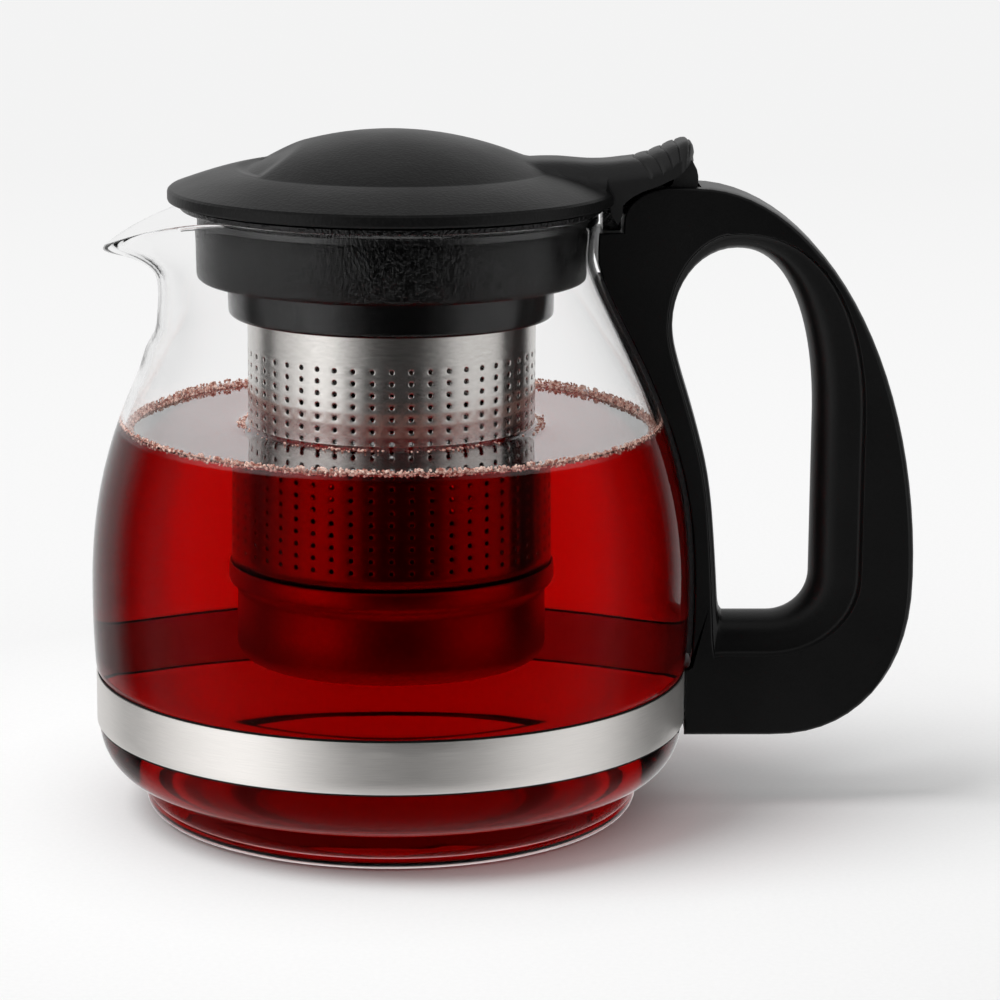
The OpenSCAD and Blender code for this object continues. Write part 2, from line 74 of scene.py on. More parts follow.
bpy.context.scene.view_settings.view_transform = "Standard"


# ---- glass jug ----
# Blown borosilicate: a thick pressed foot, a round belly with a shallow seat for the band, a slim neck with a
# fire-rounded rim, and a lip drawn out by hand on the side away from the handle. It carries everything else.
MM = 0.001
belly_r, belly_z, jug_h, neck_r, neck_z = 65.2, 47.0, 131.5, 43.4, 121.0
glass_wall, seat_low, seat_high, seat_r = 1.8, 19.5, 31.5, 64.0
foot_r, foot_round, foot_h, foot_wall_r, floor_t = 50.4, 3.6, 8.2, 54.0, 1.8


def mix(a, b, t):
    return a + (b - a) * t


def quarter(centre, a, b, start, end, count, power=2.0):
    """Points on a quarter of a rounded outline about centre, start and end in degrees."""
    points = []
    for i in range(count + 1):
        t = math.radians(mix(start, end, i / count))
        x, y = math.cos(t), math.sin(t)
        points.append((centre[0] + a * math.copysign(abs(x) ** (2 / power), x),
                       centre[1] + b * math.copysign(abs(y) ** (2 / power), y)))
    return points


def glass_r(z):
    """Outer radius of the glass above the band."""
    if z <= belly_z:
        return belly_r - 0.6 * ((belly_z - z) / (belly_z - seat_high)) ** 2
    t = min(1.0, (z - belly_z) / (neck_z - belly_z))
    return neck_r + (belly_r - neck_r) * (1 - t ** 2.4) ** 1.4


def wall_at(z):
    """Thickness of the glass: it thins a little towards the neck."""
    return mix(glass_wall, 1.4, max(0.0, min(1.0, (z - 95) / 20)))


def turned(profile, steps=128, ring=True, start=0.0, turn=360.0):
    """A bmesh of a profile of (radius, height) turned about the pot's axis."""
    bm = bmesh.new()
    verts = [bm.verts.new((r, 0, z)) for r, z in profile]
    edges = [bm.edges.new(pair) for pair in zip(verts, verts[1:])]
    if ring:
        edges.append(bm.edges.new((verts[-1], verts[0])))
    if start:
        bmesh.ops.rotate(bm, verts=verts, cent=(0, 0, 0), matrix=Matrix.Rotation(math.radians(start), 3, "Z"))
    bmesh.ops.spin(bm, geom=verts + edges, cent=(0, 0, 0), axis=(0, 0, 1), angle=math.radians(turn),
                   steps=steps, use_merge=turn == 360.0)
    bmesh.ops.remove_doubles(bm, verts=bm.verts, dist=0.002)
    return bm


def piece(name, bm, finish, body, crease=38.0, outward=True):
    """Finishes a mesh made in millimetres and sets it in place on its body."""
    if outward:
        bmesh.ops.recalc_face_normals(bm, faces=bm.faces)
    for face in bm.faces:
        face.smooth = True
    for edge in bm.edges:
        if len(edge.link_faces) == 2 and edge.calc_face_angle() > math.radians(crease):
            edge.smooth = False
    bmesh.ops.scale(bm, vec=(MM, MM, MM), verts=bm.verts)
    mesh = bpy.data.meshes.new(name)
    bm.to_mesh(mesh)
    bm.free()
    made = bpy.data.objects.new(name, mesh)
    bpy.context.scene.collection.objects.link(made)
    mesh.materials.append(finish)
    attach(made, body)
    return made


def finish_tree(name, **plain):
    """A new material, its node tree and its Principled shader with the plain sockets set."""
    material = bpy.data.materials.new(name)
    material.use_nodes = True
    shader = material.node_tree.nodes["Principled BSDF"]
    for socket, value in plain.items():
        shader.inputs[socket.replace("_", " ")].default_value = value
    return material, material.node_tree, shader


def feed(tree, node, **inputs):
    """Gives a node its inputs, each a value or another node's output; i2 stands for the input of index 2."""
    for key, value in inputs.items():
        by_index = key[0] == "i" and key[1:].isdigit()
        socket = node.inputs[int(key[1:]) if by_index else key.replace("_", " ")]
        if isinstance(value, bpy.types.NodeSocket):
            tree.links.new(value, socket)
        else:
            socket.default_value = value


def add(tree, kind, settings=(), **inputs):
    """A new shader node with its settings and its inputs."""
    node = tree.nodes.new("ShaderNode" + kind)
    for key, value in dict(settings).items():
        setattr(node, key, value)
    feed(tree, node, **inputs)
    return node


def point(tree):
    """The shaded point, in metres from the foot of the pot."""
    return add(tree, "TexCoord").outputs["Object"]


def split(tree, vector):
    """The X, Y and Z parts of a vector."""
    return add(tree, "SeparateXYZ", Vector=vector).outputs


def spread(tree, value, low, high, to_low=0.0, to_high=1.0, curve="LINEAR"):
    """A value stretched from one range to another and held at both ends."""
    return add(tree, "MapRange", {"interpolation_type": curve}, Value=value, From_Min=low, From_Max=high,
               To_Min=to_low, To_Max=to_high).outputs["Result"]


def noise(tree, vector, scale, detail):
    """A cloud of levels about 0.5."""
    return add(tree, "TexNoise", Vector=vector, Scale=scale, Detail=detail).outputs["Fac"]


def mixed(tree, share, first, second):
    """A colour between two others, by the share of the second."""
    return add(tree, "MixRGB", Fac=share, Color1=first, Color2=second).outputs["Color"]


def emboss(tree, shader, height, strength, depth):
    """Raises the surface by a height without moving its mesh."""
    bumps = add(tree, "Bump", Strength=strength, Distance=depth, Height=height)
    feed(tree, shader, Normal=bumps.outputs["Normal"])


def grey(level):
    """A colour without hue."""
    return (level, level, level, 1)


lip_half, lip_low = 42.0, jug_h - 38.0
lip_line = [(glass_r(93.5), 93.5), (glass_r(97.5) + 0.15, 97.6), (glass_r(101.5) + 0.8, 101.6),
            (50.9, 105.3), (50.45, 109.2), (50.2, 112.6), (50.35, 115.4), (51.0, 117.5), (52.6, 119.0),
            (55.2, 120.3), (58.5, 121.4), (61.5, 122.5)]


def along(line, t):
    """Point and direction on a smooth curve through the line's points, t from 0 to 1 or a little past."""
    u = t * (len(line) - 1)
    i = max(0, min(len(line) - 2, int(u)))
    f = u - i
    p = [Vector(line[max(0, min(len(line) - 1, i + k))]) for k in (-1, 0, 1, 2)]
    if f > 1:
        d = p[2] - p[1]
        return p[2] + d * (f - 1), d.normalized()
    m1, m2 = (p[2] - p[0]) / 2, (p[3] - p[1]) / 2
    here = (p[1] * (2 * f ** 3 - 3 * f ** 2 + 1) + m1 * (f ** 3 - 2 * f ** 2 + f)
            + p[2] * (3 * f ** 2 - 2 * f ** 3) + m2 * (f ** 3 - f ** 2))
    turn = (p[1] * (6 * f ** 2 - 6 * f) + m1 * (3 * f ** 2 - 4 * f + 1) + p[2] * (6 * f - 6 * f ** 2)
            + m2 * (3 * f ** 2 - 2 * f))
    return here, turn.normalized()


def draw_out_lip(co):
    """Where the glass at this point of the turned jug goes as the lip is drawn out."""
    x, y, z = co
    angle = abs(math.degrees(math.atan2(y, -x)))
    if z <= lip_low or angle >= lip_half or x > 0:
        return co
    r = math.hypot(x, y)
    swing = (1 - (angle / lip_half) ** 1.3) ** 1.5
    t = (z - lip_low) / (jug_h - 0.5 - lip_low)
    depth = glass_r(z) - r
    if depth < 0:
        depth *= 1 - 0.55 * swing
    here, turn = along(lip_line, t)
    goal = here + Vector((-turn.y, turn.x)) * depth
    rise = mix(1.0, 1.7, max(0.0, min(1.0, (t - 0.35) / 0.25)))
    new_r = mix(r, goal.x, swing)
    return Vector((x / r * new_r, y / r * new_r, mix(z, goal.y, swing ** rise)))


outside = [(0, 0), (20, 0), (40, 0)] + quarter((foot_r, foot_round), foot_round, foot_round, -90, 0, 6)
outside += [(foot_wall_r, 6.4), (foot_wall_r - 0.25, 7.5), (foot_wall_r, foot_h)]
outside += quarter((foot_wall_r, seat_low), seat_r - foot_wall_r, seat_low - foot_h, -90, 0, 14)[1:]
outside += [(seat_r, 21), (seat_r, 30), (seat_r, seat_high - 0.4), (seat_r + 0.15, seat_high),
            (glass_r(32.2) - 0.1, 32.2)]
belly_zs = [36, 39.5, 43, 47, 51, 55, 59, 63, 67, 71, 75, 79, 82.5]
shoulder_zs = [mix(91.5, 121, i / 17) for i in range(18)]
outside += [(glass_r(z), z) for z in [33.2, *belly_zs, 86, 89.2, *shoulder_zs]]
outside += [(43.42, 123), (43.5, 125), (43.65, 126.5), (43.95, 127.8), (44.25, 128.8), (44.4, 129.6),
            (44.35, 130.4), (44.15, 131.05), (43.75, 131.42), (43.2, 131.5), (42.65, 131.42), (42.2, 131.1),
            (42.0, 130.4), (42.0, 128.6)]
inner_seat = seat_r - glass_wall
inside = [(neck_r - wall_at(z), z) for z in (127, 125, 123)]
inside += [(glass_r(z) - wall_at(z), z) for z in reversed(shoulder_zs)]
inside += [(glass_r(z) - glass_wall, z) for z in [89.2, 86, *reversed(belly_zs), 33]]
inside += [(inner_seat + 0.3, seat_high), (inner_seat, 29), (inner_seat, 24), (inner_seat, 21)]
inner_low = quarter((foot_wall_r, seat_low), inner_seat - foot_wall_r,
                    seat_low - foot_h - glass_wall, 0, -90, 12)
inner_foot = [(53.2, 9.9), (52.7, 9.5), (52.4, 8.9), (52.3, 8.0), (52.3, 6.6), (52.3, 5.2), (52.0, 3.9),
              (51.2, 2.8), (49.9, 2.1), (48, floor_t), (30, floor_t), (15, floor_t), (0, floor_t)]
inside += inner_low + inner_foot
glass_bm = turned(outside + inside, 160, ring=False)
for vert in glass_bm.verts:
    vert.co = draw_out_lip(vert.co)


def let_lamps_through(tree, shader, tint):
    """Rays towards lamps pass straight through, so that what stands in or behind the glass is lit."""
    path = add(tree, "LightPath")
    clear = add(tree, "BsdfTransparent", Color=tint)
    both = add(tree, "MixShader", Fac=path.outputs["Is Shadow Ray"], i1=shader.outputs[0],
               i2=clear.outputs[0])
    feed(tree, tree.nodes["Material Output"], Surface=both.outputs[0])


def glass_finish(name, bend, mirror, shade):
    """Glass with faint waves: bend is its index, mirror its reflections, shade the light it lets past."""
    material, tree, shader = finish_tree(name, Base_Color=grey(1), Roughness=0.0, IOR=bend,
                                         Transmission_Weight=1.0, Specular_Tint=grey(mirror))
    emboss(tree, shader, noise(tree, point(tree), 22, 1.5), 0.12, 0.001)
    let_lamps_through(tree, shader, grey(shade))
    return material


clear_glass = glass_finish("clear_glass", 1.2, 0.12, 0.93)
wetted_glass = glass_finish("wetted_glass", 1.14, 0.05, 0.7)
rim_glass = glass_finish("rim_glass", 1.5, 1.0, 0.93)
foot_glass = glass_finish("foot_glass", 1.14, 0.1, 0.7)
# Painted red: the clear foot glass is tinted tea red from 2 mm up, standing in for the tea's colour and shade
# seen in it.
tree = foot_glass.node_tree
painted_tea_red = spread(tree, split(tree, point(tree))["Z"], 0.0008, 0.002)
feed(tree, tree.nodes["Principled BSDF"], Base_Color=mixed(tree, painted_tea_red, grey(1), (0.77, 0.3, 0.3, 1)))
jug = piece("glass_jug_blown", glass_bm, clear_glass, "pot", crease=60)
for finish in (wetted_glass, rim_glass, foot_glass):
    jug.data.materials.append(finish)
tea_z, bead_z = 84.4, 129.7
for face in jug.data.polygons:
    height = face.center.z / MM
    face.material_index = 3 if height < seat_low else 1 if height < tea_z else 2 if height > bead_z else 0
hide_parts("glass_jug")


# ---- tea ----
# A fill of red fruit tea up to a third below the rim. It wets the glass, climbs it a little at the surface,
# and stands round the basket. It is a filling, so it has no solid of its own.
wet = 0.04


def tea_wall(z):
    """Radius of the tea, which laps into the glass so that no air is left between them."""
    return glass_r(z) - glass_wall + wet


def grey_ramp(tree, value, stops):
    """Greys through (position, level) stops."""
    node = add(tree, "ValToRGB", Fac=value)
    for position, level in stops[1:-1]:
        node.color_ramp.elements.new(position)
    for stop, (position, level) in zip(node.color_ramp.elements, stops):
        stop.position, stop.color = position, grey(level)
    return node.outputs["Color"]


tea_side = [(r + wet * min(1, r), z - wet * 0.7) for r, z in reversed(inner_foot)]
tea_side += [(r + wet, z - wet) for r, z in reversed(inner_low)]
tea_side += [(inner_seat + wet, 21), (inner_seat + wet, 24), (inner_seat + wet, 29),
             (inner_seat + 0.3 + wet, seat_high)]
tea_side += [(tea_wall(z), z) for z in [33, *belly_zs, 84.6, 85.4]]
tea_edge = tea_wall(84.6)
tea_face = [(tea_edge - 0.5, tea_z + 0.42), (tea_edge - 1.1, tea_z + 0.12), (tea_edge - 2.2, tea_z),
            (50, tea_z), (42, tea_z), (35, tea_z), (33, tea_z + 0.1), (31.9, tea_z + 0.45),
            (31.15, tea_z + 1.0), (30.6, tea_z + 1.0), (29.9, tea_z + 0.4), (29, tea_z + 0.05), (20, tea_z),
            (10, tea_z), (0, tea_z)]
red_tea, tree, shader = finish_tree("red_tea", Base_Color=grey(1), Roughness=0.0, IOR=1.12,
                                    Transmission_Weight=1.0, Coat_IOR=1.5, Coat_Roughness=0.0,
                                    Specular_Tint=grey(0.1))
place = point(tree)
above_foot = split(tree, place)["Z"]
open_face = spread(tree, above_foot, 0.0836, 0.084)
above_band = spread(tree, above_foot, 0.028, 0.036)
facing = add(tree, "LayerWeight", Blend=0.5).outputs["Facing"]
# Painted shade: the tea's colour darkens towards its outline as its surface turns from the camera, and below
# the band it is a flat darker grey.
painted_edge_shade = grey_ramp(tree, facing, [(0.2, 1.0), (0.29, 0.46), (0.36, 0.34), (0.41, 0.18), (0.47, 0.05)])
feed(tree, shader, Coat_Weight=open_face, Base_Color=mixed(tree, above_band, grey(0.76), painted_edge_shade))
emboss(tree, shader, noise(tree, place, 40, 2), 0.1, 0.001)
let_lamps_through(tree, shader, (1, 0.93, 0.93, 1))
brew = add(tree, "VolumeAbsorption", Color=(0.985, 0.0, 0.0, 1), Density=560.0)
feed(tree, tree.nodes["Material Output"], Volume=brew.outputs[0])
piece("red_tea_fill", turned(tea_side + tea_face, 128, ring=False), red_tea, "pot", crease=70)


# ---- froth ----
# Tiny bubbles left from pouring lie along the glass where the tea ends, and in small heaps at the basket.
rng = random.Random(7)
froth_bm = bmesh.new()


def bubble(bm, angle, r, z, size):
    """A bubble at a heading and distance from the pot's axis, turned at random."""
    spot = Matrix.Translation((r * math.cos(angle), r * math.sin(angle), z))
    spin = Matrix.Rotation(rng.uniform(0, 3), 4, "Z")
    bmesh.ops.create_icosphere(bm, subdivisions=1, radius=size, matrix=spot @ spin)


def all_round(bm, turn, steps):
    """Repeats a mesh about the pot's axis."""
    bmesh.ops.spin(bm, geom=bm.verts[:] + bm.edges[:] + bm.faces[:], cent=(0, 0, 0), axis=(0, 0, 1),
                   angle=turn, steps=steps, use_duplicate=True)


def mottle(tree, scale, detail, dark, pale, start=0.0, end=1.0):
    """Two tones mingled in spots, over the part of the noise from start to end."""
    node = add(tree, "ValToRGB", Fac=noise(tree, point(tree), scale, detail))
    first, last = node.color_ramp.elements
    first.position, last.position = start, end
    first.color, last.color = dark, pale
    return node.outputs["Color"]


sectors = 15
for i in range(380):
    out = rng.random() ** 1.3
    size = rng.uniform(0.17, 0.32) * (1.25 - 0.4 * out)
    pile = 1.75 * (1 - out) ** 1.1 * rng.random() ** 0.7
    heading = rng.uniform(0, 2 * math.pi / sectors)
    bubble(froth_bm, heading, tea_edge - 0.24 - 1.75 * out, tea_z + 0.02 + pile, size)
all_round(froth_bm, 2 * math.pi * (sectors - 1) / sectors, sectors - 1)
ring_mesh = bpy.data.meshes.new("froth_ring")
froth_bm.to_mesh(ring_mesh)
froth_bm.clear()
for i in range(420):
    heap = rng.choice((math.pi - 0.15, math.pi + 0.1, math.pi - 0.35, 0.05, 0.25, -0.15, -1.9, -1.2, 2.4,
                       rng.uniform(0, 6.28), rng.uniform(0, 6.28)))
    size = rng.uniform(0.15, 0.36)
    heading, off = rng.gauss(heap, 0.12), abs(rng.gauss(0, 0.75))
    bubble(froth_bm, heading, 31.6 + off, tea_z + 0.12 + rng.uniform(0, 0.4), size)
froth_bm.from_mesh(ring_mesh)
bpy.data.meshes.remove(ring_mesh)
# The bubbles glow faintly in their own tones, a painted light.
foam_painted_glow, tree, shader = finish_tree("foam_painted_glow", Roughness=0.25, Specular_IOR_Level=0.7, Emission_Strength=0.22)
tint = mottle(tree, 1100, 2, (0.42, 0.15, 0.11, 1), (1.0, 0.74, 0.64, 1), 0.38, 0.62)
feed(tree, shader, Base_Color=tint, Emission_Color=tint)
piece("froth", froth_bm, foam_painted_glow, "pot", crease=180)


# ---- belly band ----
# A strip of brushed stainless sheet bent round the belly, its two ends folded out into ears inside the
# handle. It is backed with white film that glows faintly, a painted light, and thin black strips in the step
# above and below it are painted shadow.
band_in, band_out, band_low, band_top, ear_end = 64.05, 64.55, 20.0, 31.0, 72.05
band_profile = [(band_in, band_low + 0.1), (band_in + 0.12, band_low), (band_out - 0.16, band_low),
                (band_out - 0.04, band_low + 0.05), (band_out, band_low + 0.18), (band_out, 22.5),
                (band_out, 25.5), (band_out, 28.5), (band_out, band_top - 0.18),
                (band_out - 0.04, band_top - 0.05), (band_out - 0.16, band_top),
                (band_in + 0.12, band_top), (band_in, band_top - 0.1)]
gap = math.degrees(math.asin(1.5 / band_out))
band_bm = turned(band_profile, 160, start=gap, turn=360 - 2 * gap)


def box(bm, centre, sizes, unit=1.0):
    """Adds a box to a mesh and gives its corners."""
    place = Matrix.Translation(centre) @ Matrix.Diagonal((*sizes, 1))
    return bmesh.ops.create_cube(bm, size=unit, matrix=place)["verts"]


def soften_edges(bm, edges, offset, segments=2):
    """Rounds the given edges as a tool or a mould would leave them."""
    bmesh.ops.bevel(bm, geom=list(edges), offset=offset, affect="EDGES", segments=segments, profile=0.5,
                    material=-1)


for across in (-1.75, 1.75):
    ear = box(band_bm, ((band_in + ear_end) / 2, across, 25.5), (ear_end - band_in, 0.5, 11))
    soften_edges(band_bm, {e for v in ear for e in v.link_edges}, 0.12)


def reckon(tree, operation, *values):
    """One step of arithmetic on the given values."""
    inputs = {"i%d" % i: value for i, value in enumerate(values)}
    return add(tree, "Math", {"operation": operation}, **inputs).outputs[0]


def between(tree, value, first, second):
    """A colour between two others as the noise rises through its middle."""
    return add(tree, "MapRange", {"data_type": "FLOAT_VECTOR"}, i6=value, i7=(0.3, 0.3, 0.3),
               i8=(0.7, 0.7, 0.7), i9=first, i10=second).outputs["Vector"]


def scaled(tree, vector, factor):
    """A colour made darker or paler by a factor."""
    return add(tree, "VectorMath", {"operation": "SCALE"}, i0=vector, Scale=factor).outputs["Vector"]


shade_full_z, shade_gone_z = 0.0838, 0.0846


def brushed_steel(name, colour, rough, along_scale, across_scale, depth, under_tea_shade=1.0):
    """Stainless sheet with fine scratches that run round the pot; below the tea its colour is darkened to
    under_tea_shade, a painted shade.
    """
    material, tree, shader = finish_tree(name, Metallic=1.0)
    place = point(tree)
    parts = split(tree, place)
    turn = reckon(tree, "ARCTAN2", parts["Y"], parts["X"])
    flat = add(tree, "CombineXYZ", X=turn, Y=parts["Z"])
    grid = add(tree, "Mapping", Vector=flat.outputs[0], Scale=(along_scale, across_scale, 1))
    lines = add(tree, "TexNoise", Vector=grid.outputs[0], Scale=1.0, Detail=6, Roughness=0.7).outputs["Fac"]
    both = reckon(tree, "MULTIPLY_ADD", noise(tree, place, 30, 2), 0.35, lines)
    feed(tree, shader, Roughness=spread(tree, both, 0.4, 1.0, rough * 0.8, rough * 1.25))
    shade = between(tree, lines, [c * 0.9 for c in colour], [min(1, c * 1.06) for c in colour])
    # Painted shade: below the tea line the steel's colour is darkened.
    painted_tea_shade = spread(tree, parts["Z"], shade_full_z, shade_gone_z, under_tea_shade)
    feed(tree, shader, Base_Color=scaled(tree, shade, painted_tea_shade))
    emboss(tree, shader, lines, 0.35, depth)
    return material


band_steel = brushed_steel("brushed_band_steel", (0.88, 0.85, 0.82), 0.4, 9, 9000, 0.00005)
band = piece("belly_band_sheet", band_bm, band_steel, "pot", crease=50)
# Painted light: the backing glows faintly, to lighten the band's inside as seen through the tea.
glowing_backing, tree, shader = finish_tree("glowing_white_backing", Roughness=0.7, Emission_Strength=0.3)
backing_glow_tone = mottle(tree, 400, 3, grey(0.8), grey(0.95))
feed(tree, shader, Base_Color=backing_glow_tone, Emission_Color=backing_glow_tone)
band.data.materials.append(glowing_backing)
for face in band.data.polygons:
    flat = Vector((face.center.x, face.center.y, 0))
    inward = flat.normalized().dot(face.normal)
    if flat.length < 64.2 * MM and inward < -0.9:
        face.material_index = 1
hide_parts("belly_band")
# Painted shadow: thin black strips fill the step of the glass above and below the band, where its edges cast
# shade.
painted_shadow_black, tree, shader = finish_tree("painted_shadow_black", Roughness=0.6, Specular_IOR_Level=0.1)
feed(tree, shader, Base_Color=mottle(tree, 800, 2, grey(0.001), grey(0.006)))
shadow_strip_bm = bmesh.new()
shadow_in, shadow_out = 64.02, 64.3
for low_z, high_z in ((seat_low + 0.1, band_low), (band_top, seat_high - 0.12)):
    strip = turned([(shadow_in, low_z), (shadow_out, low_z), (shadow_out, high_z), (shadow_in, high_z)], 160,
                   start=gap, turn=360 - 2 * gap)
    strip_mesh = bpy.data.meshes.new("strip")
    strip.to_mesh(strip_mesh)
    strip.free()
    shadow_strip_bm.from_mesh(strip_mesh)
    bpy.data.meshes.remove(strip_mesh)
piece("band_shadow_strips", shadow_strip_bm, painted_shadow_black, "pot")


# ---- clamp screw, nut and hinge pin ----
# Turned steel: the screw draws the band's ears together inside the handle, and the pin carries the lid.
def coat(finish, *names):
    """Gives solids that are shown as they are their finish."""
    for name in names:
        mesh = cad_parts[name].data
        mesh.materials.clear()
        mesh.materials.append(finish)


turned_steel = brushed_steel("turned_steel", (0.6, 0.59, 0.58), 0.25, 60, 4000, 0.0001)
coat(turned_steel, "clamp_screw", "clamp_nut", "hinge_pin")


# ---- handle cushion ----
# A strip of soft silicone glued between the glass and the handle's bar, so that plastic never meets glass.
def fine_grain():
    """Leather-like grain pressed into moulded plastic: a height, and a mask of its valleys."""
    group = bpy.data.node_groups.new("fine_grain", "ShaderNodeTree")
    for name, way, kind in (("Vector", "INPUT", "Vector"), ("Cells", "INPUT", "Float"),
                            ("Height", "OUTPUT", "Float"), ("Valleys", "OUTPUT", "Float")):
        group.interface.new_socket(name, in_out=way, socket_type="NodeSocket" + kind)
    entry, result = group.nodes.new("NodeGroupInput").outputs, group.nodes.new("NodeGroupOutput")
    bend = add(group, "TexNoise", Vector=entry["Vector"], Scale=500, Detail=2)
    moved = add(group, "MixRGB", {"blend_type": "LINEAR_LIGHT"}, Fac=0.0012, Color1=entry["Vector"],
                Color2=bend.outputs["Color"])
    pits = add(group, "TexVoronoi", {"feature": "SMOOTH_F1"}, Vector=moved.outputs[0], Scale=entry["Cells"],
               Smoothness=0.35).outputs["Distance"]
    feed(group, result, Height=spread(group, pits, 0.1, 0.7, 1.0, 0.0))
    feed(group, result, Valleys=spread(group, pits, 0.35, 0.65))
    return group


grain_group = fine_grain()


def moulded(name, colour, rough, cells, depth, strength=0.6, specular=0.4, patches=0.05):
    """Black plastic as it leaves the mould, with grain of so many cells a metre and slightly uneven shine."""
    material, tree, shader = finish_tree(name, Specular_IOR_Level=specular)
    place = point(tree)
    grain = tree.nodes.new("ShaderNodeGroup")
    grain.node_tree = grain_group
    feed(tree, grain, Cells=cells, Vector=place)
    tone = mixed(tree, grain.outputs["Valleys"], (*colour, 1), (*[c * 0.6 for c in colour], 1))
    shine = spread(tree, noise(tree, place, 35, 3), 0.3, 0.7, rough - patches, rough + patches)
    feed(tree, shader, Base_Color=tone, Roughness=shine)
    emboss(tree, shader, grain.outputs["Height"], strength, depth)
    return material


coat(moulded("soft_silicone", (0.05, 0.05, 0.052), 0.6, 2500, 0.00003), "handle_cushion")


# ---- handle ----
# One piece of moulded black plastic: a bar that follows the glass, a broad grip, a dished finger hole and, at
# the top, two cheeks with a slot between them for the hinge. The band's ears lie in a pocket in its foot.
half_w, handle_low, reach, wide_z, notch_x, notch_z = 8.0, 16.6, 114.0, 52.0, 49.4, 127.3
hole_out, hole_mid, hole_in, hole_low, hole_high = 91.5, 74.0, 60.5, 43.0, 123.4
glue, creep = 1.2, 0.12


def glass_side(z, y, off):
    """How far out the handle's face towards the glass stands at this height and this far from its middle."""
    r = glass_r(z) if z > seat_high else band_out + 0.1 - off
    if z > 127:
        r = max(r, mix(neck_r, neck_r + 1, min(1, (z - 127) / 2)))
    return math.sqrt(max(0.0, (r + off) ** 2 - y * y))


def outer_loop(y):
    """The handle's side outline at this distance from its middle: foot, grip, crest and down the glass."""
    points = [(mix(glass_side(handle_low, y, 0), 80, t), handle_low) for t in (0.0, 0.2, 0.4, 0.6, 0.8)]
    soften = 2.6 * (1 - math.sqrt(1 - (max(0.0, abs(y) - 4.5) / 3.9) ** 2))
    points += quarter((83, wide_z), reach - 83 - soften, wide_z - handle_low, -90, 0, 14, 2.3)
    points += quarter((65, wide_z), reach - 65 - soften, 85.1 - 0.2 * soften, 0, 90, 26)[1:]
    points += quarter((59.0, 129.9), 9.6, 7.2, 90, 172, 9, 1.9)
    points += [(notch_x, 128.3), (notch_x, notch_z)]
    points += [(mix(notch_x, glass_side(notch_z, y, glue), t), notch_z) for t in (0.5, 1.0)]
    zs = [124.5, 121, 117.5, 114, 110, 106, 102, 98, 94, 89, 84, 79, 74, 68, 62, 56, 50, 44, 39, 35, 32.2]
    points += [(glass_side(z, y, glue), z) for z in zs]
    points += [(glass_side(z, y, 0), z) for z in (31.4, 29, 26, 23, 20, 18.2)]
    return points


def hole_loop(grow, drop, lift, count_from):
    """The finger hole's outline, grown outwards, down and up, with as many points as the outer loop."""
    points = [(mix(72.6, hole_out - 9, t), hole_low - drop) for t in (0.0, 0.25, 0.5, 0.75, 0.92)]
    points += quarter((hole_out - 9, hole_low + 9), 9 + grow, 9 + drop, -90, 0, 14)
    points += quarter((hole_mid, 85), hole_out + grow - hole_mid, hole_high + lift - 85, 0, 90, 26, 2.3)[1:]
    points += quarter((hole_mid, hole_high - 16), hole_mid - hole_in + creep * grow, 16 + lift, 90, 180, 11)
    near_bar = [(hole_in, hole_high - 16), (60.54, 106.2), (60.7, 104.6), (61.05, 102.6), (61.65, 100.2),
                (62.5, 97.2), (63.55, 93.8), (64.85, 89.6), (66.3, 84.5), (67.7, 79.2), (68.8, 74),
                (69.6, 68.5), (70.2, 62.5), (70.7, 56.5), (71.1, 51), (71.4, 47), (71.6, hole_low + 2.4),
                (71.9, hole_low + 1.0)]
    total = count_from - len(points)
    run = [along(near_bar, (i + 1) / total)[0] for i in range(total)]
    return points + [(p.x - creep * grow, p.y - drop * ((hole_high - 16 - p.y) / 62) ** 6) for p in run]


def loft(bm, loops):
    """Joins closed loops of points one to the next, each with as many points as the first."""
    verts = [bm.verts.new(p) for p in loops[0]]
    edges = [bm.edges.new((verts[i - 1], verts[i])) for i in range(len(verts))]
    for loop in loops[1:]:
        order = {vert: i for i, vert in enumerate(verts)}
        out = bmesh.ops.extrude_edge_only(bm, edges=edges)["geom"]
        edges = [g for g in out if isinstance(g, bmesh.types.BMEdge) and g.is_boundary]
        fresh = {order[e.other_vert(v)]: v for v in out if isinstance(v, bmesh.types.BMVert)
                 for e in v.link_edges if e.other_vert(v) in order}
        verts = [fresh[i] for i in range(len(loop))]
        for vert, spot in zip(verts, loop):
            vert.co = spot
    return edges


handle_bm = bmesh.new()
count = len(outer_loop(0))
dish = [(1.0, 8.0), (0.985, 7.9), (0.965, 7.62), (0.94, 7.22), (0.91, 6.95), (0.87, 6.8), (0.7, 6.65),
        (0.5, 6.45), (0.36, 6.15), (0.24, 5.5), (0.15, 4.6), (0.08, 3.4), (0.03, 1.9), (0.0, 0.6)]
hole_loops = [[(x, -y, z) for x, z in hole_loop(11 * k, 8.7 * k, 4 * k, count)] for k, y in dish]
mirror = [[(x, -y, z) for x, y, z in loop] for loop in reversed(hole_loops)]
across = [half_w, 7.6, 7.0, 6.2, 5.4, 4.5, 0.0]
across += [-y for y in reversed(across[:-1])]
outer_loops = [[(x, y, z) for x, z in outer_loop(y)] for y in across]
ring = hole_loops + mirror + outer_loops + [hole_loops[0]]
loft(handle_bm, ring)
bmesh.ops.remove_doubles(handle_bm, verts=handle_bm.verts, dist=0.003)
bmesh.ops.recalc_face_normals(handle_bm, faces=handle_bm.faces)
edge_run = [e for e in handle_bm.edges if all(abs(abs(v.co.y) - half_w) < 0.01 for v in e.verts)
            and len(e.link_faces) == 2 and e.calc_face_angle() > math.radians(60)]
soften_edges(handle_bm, edge_run, 0.55, 3)
matt_black = moulded("matt_black_plastic", (0.0027, 0.0027, 0.0028), 0.4, 2600, 0.00003,
                     strength=0.35, specular=0.3)
handle = piece("moulded_handle", handle_bm, matt_black, "pot", crease=40)


